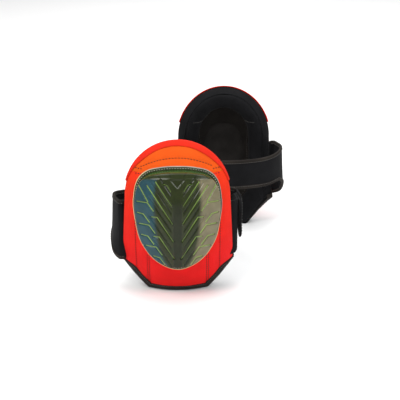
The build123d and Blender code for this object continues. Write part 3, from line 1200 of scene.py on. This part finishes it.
flap = {
    "thickness": 2.5 * mm,
    "long": 42 * mm,
    "dropAt": 0.66,
    "drop": 20 * mm,
    "tipRise": 10 * mm,
    "overlap": 5 * mm,
    "cut": ((0.100, 0.050), 0.0031),
}
wing = {
    "thickness": 2.8 * mm,
    "inside": 4.9 * mm,
    "long": 38 * mm,
    "foot": (83.0 * mm, 48.0 * mm),
    "cut": ((0.100, 0.060), 0.0040),
}
swingRadius = (Vector((strapMiddle.x + strapHalf * math.cos(strapEnd),
                       strapMiddle.y + strap["depth"] * strap["endSine"])) - seamPoint).length
rootTurn = math.atan2(strap["flapHinge"].y - seamPoint.y, strap["flapHinge"].x - seamPoint.x)


def roundSeam(radius, turn, z):
    return Vector((seamPoint.x + radius * math.cos(turn), seamPoint.y + radius * math.sin(turn), z))


def flapEdges(t):
    # the lower and upper edge of the flap, from its root at 0 to its tip at 1
    f = flap
    low = strap["bandLow"] - 3 * mm - (f["drop"] - 3 * mm) * smooth(t / f["dropAt"])
    low += f["tipRise"] * max(0.0, (t - f["dropAt"]) / (1 - f["dropAt"])) ** 1.5
    high = strap["high"] - f["tipRise"] * max(0.0, (t - 0.5) / 0.5) ** 2.2
    return low, high


def buildFlap():
    bm = grid(44, 26)

    def place(u, w):
        t = (u + 1) / 2
        along = -flap["overlap"] + (flap["long"] + flap["overlap"]) * t
        low, high = flapEdges(max(0.0, along / flap["long"]))
        corner = 1.5 * mm * smooth((t - 0.9) / 0.1) * abs(w) ** 6
        lift = 0.6 * mm * noise.noise(Vector((u * 2, w * 2, 9.1)))
        turn = rootTurn - (along - corner) / swingRadius
        return roundSeam(swingRadius + flap["thickness"] / 2 + lift, turn, low + (high - low) * (w + 1) / 2)

    shaped(bm, place)
    return softEdges(outwards(bm, legCentre, flap["thickness"]), 0.5 * mm)


def flapStitches():
    bm = bmesh.new()
    edge = []
    for k in range(97):
        t = k / 96
        side, f = int(t * 4), t * 4 - int(t * 4)
        a, w = ((f, 0), (1, f), (1 - f, 1), (0, 1 - f), (0, 0))[side]
        along = (0.16 + 0.76 * a) * flap["long"]
        low, high = flapEdges(along / flap["long"])
        z = low + 4 * mm + (high - low - 8 * mm) * w
        outside = swingRadius + flap["thickness"] / 2 + 0.5 * mm
        edge.append(roundSeam(outside, rootTurn - along / swingRadius, z))
    stitchRun(bm, edge)
    return bm


def buildWing():
    bm = grid(50, 26)
    radius = swingRadius - wing["inside"]
    first = rootTurn - (wing["long"] - 3 * mm) / swingRadius
    last = rootTurn - 0.5 * mm / swingRadius

    def place(u, w):
        t = (u + 1) / 2
        if t < 0.35:
            f = t / 0.35
            a, b = Vector((*wing["foot"], 0)), Vector((95.5 * mm, 50 * mm, 0))
            c = roundSeam(radius, first, 0)
            p = a * (1 - f) ** 2 + b * 2 * f * (1 - f) + c * f**2
        else:
            p = roundSeam(radius, first + (last - first) * (t - 0.35) / 0.65, 0)
        low = strapLow(p.y) + 4 * mm
        high = strap["high"] - 3 * mm - 5 * mm * smooth((t - 0.75) / 0.25) ** 2
        return Vector((p.x, p.y, low + (high - low) * (w + 1) / 2))

    shaped(bm, place)
    return softEdges(outwards(bm, legCentre, wing["thickness"]), 0.5 * mm)


onBothPads("StrapFlap", buildFlap(), neoprene, nodes=["strap_flap"],
           finish=sheetOf("hung", *flap["cut"], ["right_wing"], acrossPeel))
onBothPads("FlapStitches", flapStitches(), greyThread, finish=acrossPeel)
onBothPads("RightWing", buildWing(), neoprene, nodes=["right_wing"],
           finish=sheetOf("hung", *wing["cut"], ["foam_shell"]))
innerFinish = {
    "hook_patch": fastenerPile,
    "loop_patch": fastenerPile,
    "foam_shell": foamCells,
    "gel_core": gelFill,
    "gel_pad": gelFill,
}
for side in padPlaces:
    for name, material in innerFinish.items():
        inner = frame["nodes"][f"{side}_{name}"]
        inner.data.materials.clear()
        inner.data.materials.append(material)
print("flap and wing made")

# Floor, light and camera
stage = {
    "aim": (-0.0048, -0.060, 0.1175),
    "elevation": 20.8,
    "azimuth": -0.9,
    "distance": 1.890,
    "lens": 102.5,
    "lights": [
        ("keyLight", (-1.1, -1.3, 2.3), 1.2, 40, (1.0, 0.99, 0.97)),
        ("fillLight", (1.5, -1.2, 1.9), 1.0, 24, (0.97, 0.98, 1.0)),
        ("topLight", (0.0, 0.3, 2.6), 2.4, 44, (1.0, 1.0, 1.0)),
        ("backLight", (0.4, 2.1, 1.6), 1.6, 16, (1.0, 1.0, 1.0)),
    ],
    "world": 0.42,
}
floorMesh = bmesh.new()
bmesh.ops.create_grid(floorMesh, x_segments=1, y_segments=1, size=6)
mesh = bpy.data.meshes.new("floor")
floorMesh.to_mesh(mesh)
floorMesh.free()
floorPaint, _, floorShader = newMaterial("floorPaint", 0.6, specular=0.2)
floorShader.inputs["Base Color"].default_value = (0.93, 0.93, 0.93, 1)
mesh.materials.append(floorPaint)
floor = shown(mesh, "floor")

world = bpy.data.worlds.new("studio")
bpy.context.scene.world = world
world.use_nodes = True
world.node_tree.nodes["Background"].inputs["Color"].default_value = (1, 1, 1, 1)
world.node_tree.nodes["Background"].inputs["Strength"].default_value = stage["world"]
aim = Vector(stage["aim"])
for name, place, size, power, color in stage["lights"]:
    light = bpy.data.lights.new(name, "AREA")
    light.size = size
    light.energy = power
    light.color = color
    lamp = bpy.data.objects.new(name, light)
    bpy.context.scene.collection.objects.link(lamp)
    lamp.location = place
    lamp.rotation_euler = (aim - Vector(place)).to_track_quat("-Z", "Y").to_euler()

camera = bpy.data.cameras.new("camera")
camera.lens = stage["lens"]
camera.clip_end = 20
viewer = bpy.data.objects.new("camera", camera)
bpy.context.scene.collection.objects.link(viewer)
up, turn = math.radians(stage["elevation"]), math.radians(stage["azimuth"])
away = Vector((math.sin(turn) * math.cos(up), -math.cos(turn) * math.cos(up), math.sin(up)))
viewer.location = aim + away * stage["distance"]
viewer.rotation_euler = (-away).to_track_quat("-Z", "Y").to_euler()
bpy.context.scene.camera = viewer
bpy.context.scene.view_settings.view_transform = "Standard"
print("stage made")
